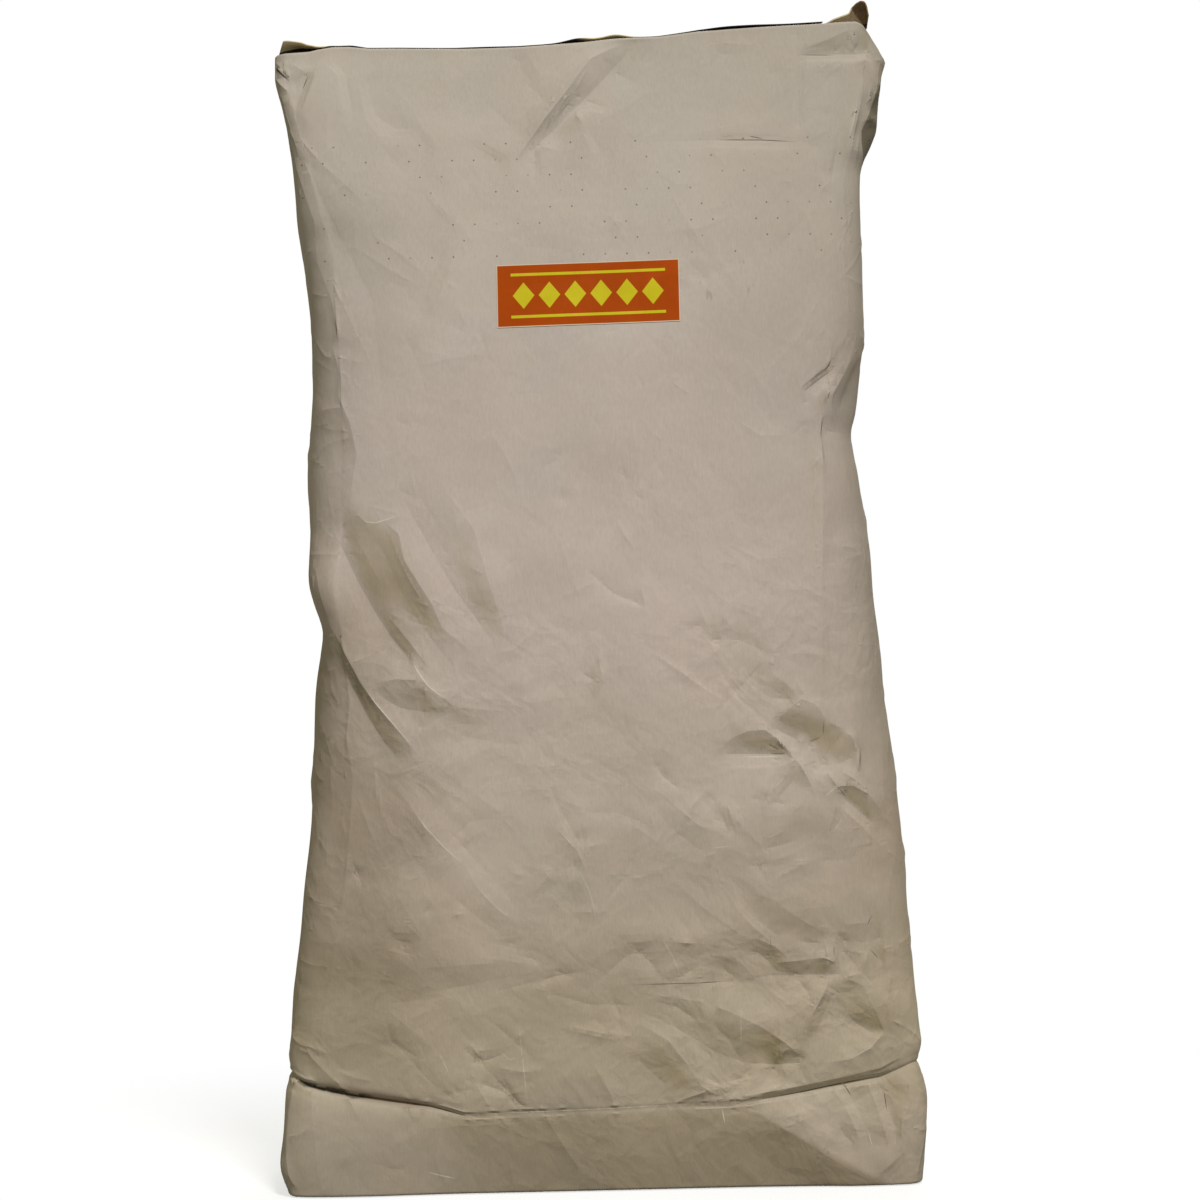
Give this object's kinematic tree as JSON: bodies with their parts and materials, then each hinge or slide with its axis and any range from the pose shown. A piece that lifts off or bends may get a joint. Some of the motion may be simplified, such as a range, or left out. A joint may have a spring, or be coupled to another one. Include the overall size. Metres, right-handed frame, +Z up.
{
  "type": "filled paper sack of vermiculite",
  "caption": "Tall filled kraft paper valve sack with pasted block ends, creased walls, a plain coloured front label and the valve sleeve's corner standing up at one end.",
  "frame": {"origin": "on the floor, under the middle of the sack", "axes": "+Z up along the sack's length, the labelled front faces -Y, +X is to the right of someone looking at the front"},
  "size_m": [0.5178, 0.2864, 0.9539],
  "materials": {
    "kraft_paper": "matt, creased kraft paper",
    "patch_paper": "matt kraft paper",
    "sleeve_paper": "matt brown inner paper",
    "label_print": "printed orange paper, slight sheen"
  },
  "bodies": {
    "root": {"paper_sack": "kraft_paper", "bottom_cover_patch": "patch_paper", "top_cover_patch": "patch_paper", "valve_sleeve": "sleeve_paper", "front_label": "label_print"}
  },
  "joints": []
}
